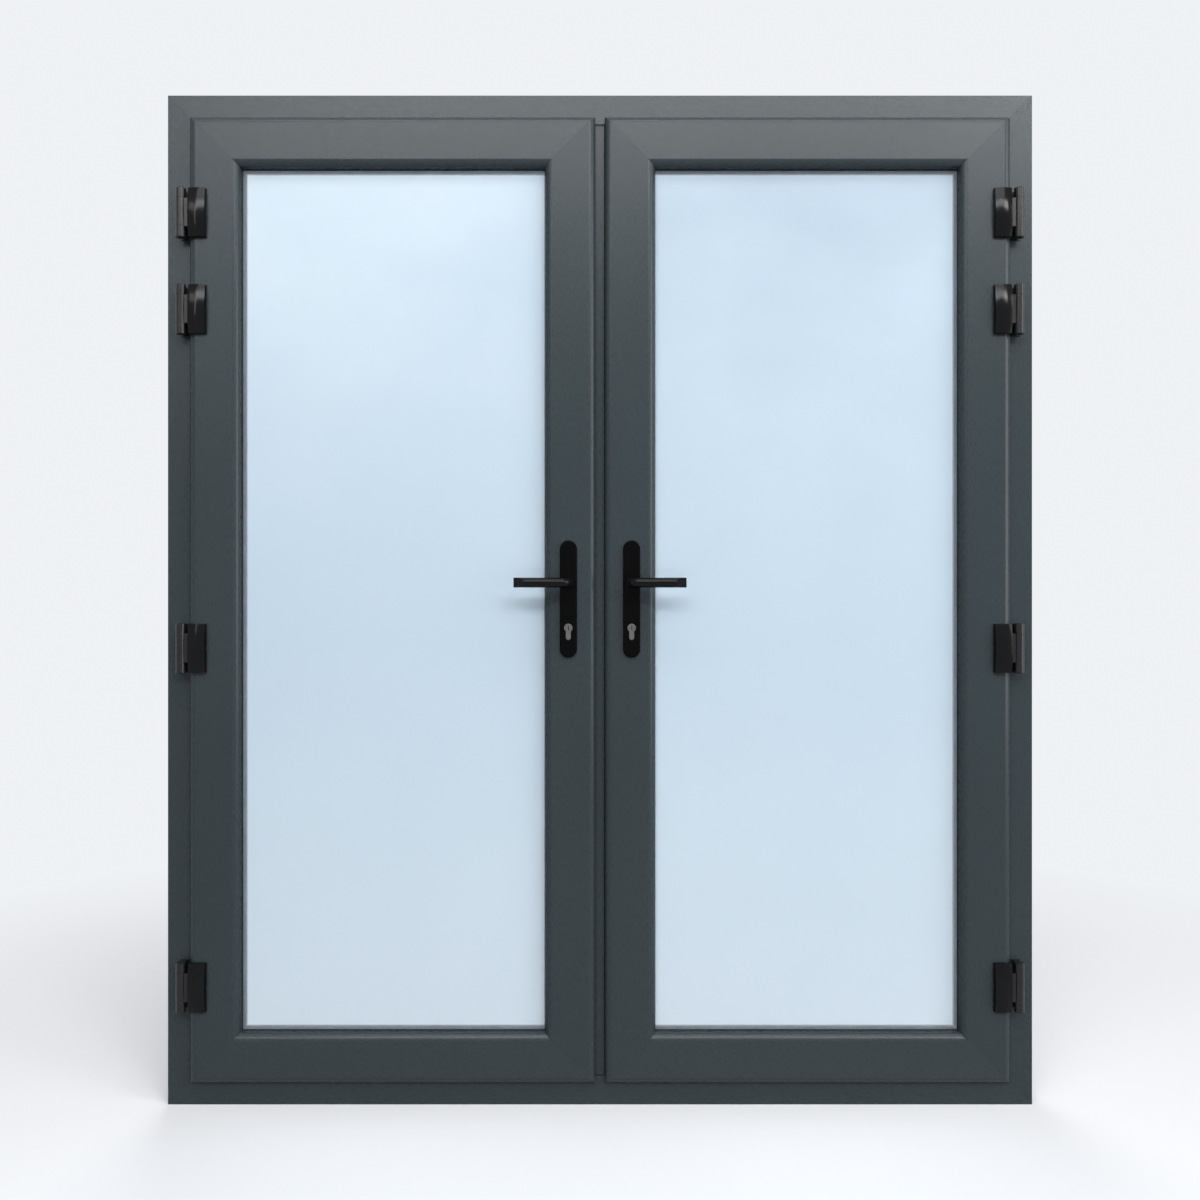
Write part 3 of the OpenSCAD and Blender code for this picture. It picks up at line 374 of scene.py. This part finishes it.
LOOKS = (
    (("frame_head", "frame_threshold", "top_rail", "bottom_rail"), FOIL_ACROSS, 0.0002),
    (("left_jamb", "right_jamb", "hinge_stile", "lock_stile", "mullion"), FOIL_UP, 0.0002),
    (("beads",), FOIL_UP, 0.0005),
    (("hinge_covers",), HINGE_BLACK, 0.0009),
    (("jamb_hinges", "leaf_hinges", "hinge_pins"), BARREL_BLACK, 0.0005),
    (("handle_plates",), PLATE_BLACK, 0.0012),
    (("outer_lever", "inner_lever"), LEVER_BLACK, 0.0007),
    (("cylinder", "cylinder_plug"), NICKEL, 0.0003),
    (("steels", "keeps", "lock_case", "faceplate", "shootbolt", "spindle"), ZINC, 0.0003),
    (("spacer",), SPACER, 0.0003),
    (("gasket", "gaskets", "meeting_seal"), RUBBER, 0.0),
    (("end_caps", "packers"), PACKER, 0.0003),
    (("bushes",), NYLON, 0.0),
    (("panes",), GLASS, 0.0),
)


def soften(obj, width):
    """Joins the split edges of a solid's mesh and rounds its sharp ones."""
    weld = obj.modifiers.new("weld", "WELD")
    weld.merge_threshold = WELD_DISTANCE
    bevel = obj.modifiers.new("edge", "BEVEL")
    bevel.width = width
    bevel.segments = BEVEL_SEGMENTS
    bevel.limit_method = "ANGLE"
    bevel.angle_limit = BEVEL_ANGLE
    bevel.harden_normals = True
    normals = obj.modifiers.new("normals", "WEIGHTED_NORMAL")
    normals.keep_sharp = True


for name, obj in nodes.items():
    for endings, material, width in LOOKS:
        if name.endswith(endings):
            obj.data.materials.clear()
            obj.data.materials.append(material)
            if width:
                soften(obj, width)
            break
    else:
        raise SystemExit("no finish for " + name)


# Small pieces

def new_piece(name, bm, body, material):
    bmesh.ops.recalc_face_normals(bm, faces=bm.faces)
    mesh = bpy.data.meshes.new(name)
    bm.to_mesh(mesh)
    bm.free()
    for polygon in mesh.polygons:
        polygon.use_smooth = True
    mesh.set_sharp_from_angle(angle=SMOOTH_ANGLE)
    obj = bpy.data.objects.new(name, mesh)
    bpy.context.scene.collection.objects.link(obj)
    mesh.materials.append(material)
    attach(obj, body)


def ring(bm, place, height, outline):
    """A closed loop of points at a height, as far out at each angle as the outline says."""
    loop = []
    for step in range(TURN_STEPS):
        turn = 2 * math.pi * step / TURN_STEPS
        radius = outline(turn)
        point = Vector((radius * math.cos(turn), radius * math.sin(turn), height))
        loop.append(bm.verts.new(place @ point))
    return loop


def lathe(bm, place, rings):
    """Skins a stack of closed outlines, with a flat face at each end."""
    loops = [ring(bm, place, height, outline) for height, outline in rings]
    for low, high in zip(loops, loops[1:]):
        for step in range(TURN_STEPS):
            after = (step + 1) % TURN_STEPS
            bm.faces.new((low[step], low[after], high[after], high[step]))
    bm.faces.new(list(reversed(loops[0])))
    bm.faces.new(loops[-1])


def circle(radius):
    return lambda turn: radius


def cross(reach, half):
    """Radius of a cross-shaped recess at each angle."""
    def outline(turn):
        across = max(abs(math.cos(turn)), NEAR_ZERO)
        up = max(abs(math.sin(turn)), NEAR_ZERO)
        one = min(reach / across, half / up)
        other = min(reach / up, half / across)
        return max(one, other)
    return outline


def facing(direction, point):
    """A frame at a point with its z along a direction."""
    return Matrix.Translation(point) @ Vector(direction).to_track_quat("Z", "Y").to_matrix().to_4x4()


def screw(bm, place, radius, height):
    """A raised countersunk head with a cross recess, standing along its place's z."""
    rings = [(-SCREW_SEAT, circle(radius))]
    rings += [(up * height, circle(out * radius)) for up, out in SCREW_CROWN]
    rings.append((height, cross(*scaled(RECESS_MOUTH, radius))))
    rings.append((0.0, cross(*scaled(RECESS_FLOOR, radius))))
    lathe(bm, place, rings)


def hinge_caps():
    bm = bmesh.new()
    for side in (-1, 1):
        for height in HINGE_HEIGHTS:
            for end in (-1, 1):
                place = facing((0, 0, end), (side * HINGE_X, HINGE_Y, height + end * BARREL_HALF))
                lathe(bm, place, [(up, circle(BARREL_R - inset)) for up, inset in CAP_PROFILE])
    new_piece("hinge_caps", bm, "frame", BARREL_BLACK)


def keep_screws():
    bm = bmesh.new()
    for side in (-1, 1):
        for height, up in zip(KEEP_FACES, (1, -1)):
            for offset in (-KEEP_SCREW_OFFSET, KEEP_SCREW_OFFSET):
                place = facing((0, 0, up), (side * KEEP_X, LOCK_Y + offset, height))
                screw(bm, place, KEEP_SCREW_R, KEEP_SCREW_H)
    new_piece("keep_screws", bm, "frame", ZINC)


def faceplate_screws():
    bm = bmesh.new()
    for step in range(FACEPLATE_SCREWS):
        place = facing((-1, 0, 0), (FACEPLATE_X, LOCK_Y, FACEPLATE_FIRST_Z + FACEPLATE_PITCH * step))
        screw(bm, place, FACEPLATE_SCREW_R, FACEPLATE_SCREW_H)
    new_piece("faceplate_screws", bm, "right_door", ZINC)


def plate_screws(side, body):
    bm = bmesh.new()
    for height in (PLATE_MID_Z - PLATE_SCREW_OFFSET, PLATE_MID_Z + PLATE_SCREW_OFFSET):
        place = facing((0, 1, 0), (side * HANDLE_X, LEAF_BACK + PLATE_T, height))
        screw(bm, place, PLATE_SCREW_R, PLATE_SCREW_H)
    new_piece(body.replace("door", "plate_screws"), bm, body, PLATE_BLACK)


hinge_caps()
keep_screws()
faceplate_screws()
plate_screws(-1, "left_door")
plate_screws(1, "right_door")


# Floor, light and camera

def floor_pale():
    """Takes the object's shadow near it, is the plain backdrop farther out, and lights the object little."""
    shader = Shader("floor_pale", Roughness=0.9, Specular_IOR_Level=0.1)
    shader.bsdf.inputs["Base Color"].default_value = FLOOR_COLOUR
    flat = shader.add("ShaderNodeEmission")
    flat.inputs["Color"].default_value = PALE
    dim = shader.add("ShaderNodeBsdfDiffuse")
    dim.inputs["Color"].default_value = FLOOR_DIM
    length = shader.add("ShaderNodeVectorMath", operation="LENGTH")
    shader.link(shader.coords, length.inputs[0])
    far = shader.span(length.outputs["Value"], 0.0, 1.0, FLOOR_LIT_R, FLOOR_PLAIN_R)
    pale = shader.either(far, shader.bsdf.outputs["BSDF"], flat.outputs["Emission"])
    surface = shader.either(shader.backdrop_rays(), dim.outputs["BSDF"], pale)
    shader.link(surface, shader.tree.nodes["Material Output"].inputs["Surface"])
    return shader.material


def stage_floor():
    bm = bmesh.new()
    bmesh.ops.create_circle(bm, cap_ends=True, radius=FLOOR_R, segments=FLOOR_SEGMENTS)
    mesh = bpy.data.meshes.new("floor")
    bm.to_mesh(mesh)
    bm.free()
    floor = bpy.data.objects.new("floor", mesh)
    bpy.context.scene.collection.objects.link(floor)
    mesh.materials.append(floor_pale())


def studio_world():
    world = bpy.data.worlds.new("studio")
    bpy.context.scene.world = world
    world.use_nodes = True
    sky = Nodes(world.node_tree)
    sky.tree.nodes.clear()
    lit = sky.add("ShaderNodeBackground")
    lit.inputs["Color"].default_value = WORLD_COLOUR
    lit.inputs["Strength"].default_value = WORLD_STRENGTH
    pale = sky.add("ShaderNodeBackground")
    pale.inputs["Color"].default_value = PALE
    surface = sky.either(sky.backdrop_rays(), lit.outputs["Background"], pale.outputs["Background"])
    sky.link(surface, sky.add("ShaderNodeOutputWorld").inputs["Surface"])


def softbox(name, place, target, size, power, mirrored):
    light = bpy.data.lights.new(name, "AREA")
    light.shape = "RECTANGLE"
    light.size, light.size_y = size
    light.energy = power
    lamp = bpy.data.objects.new(name, light)
    bpy.context.scene.collection.objects.link(lamp)
    lamp.location = place
    lamp.rotation_euler = (Vector(target) - Vector(place)).to_track_quat("-Z", "Y").to_euler()
    lamp.visible_camera = False
    lamp.visible_transmission = False
    lamp.visible_glossy = mirrored


def photo_camera():
    data = bpy.data.cameras.new("camera")
    data.sensor_width = SENSOR_MM
    data.lens = LENS_MM
    camera = bpy.data.objects.new("camera", data)
    camera.location = (0.0, FRAME_FRONT - CAMERA_DISTANCE, MID_Z)
    camera.rotation_euler = (math.pi / 2, 0.0, 0.0)
    bpy.context.scene.collection.objects.link(camera)
    bpy.context.scene.camera = camera


stage_floor()
studio_world()
for lamp in LAMPS:
    softbox(*lamp)
photo_camera()
bpy.context.scene.view_settings.view_transform = "Standard"
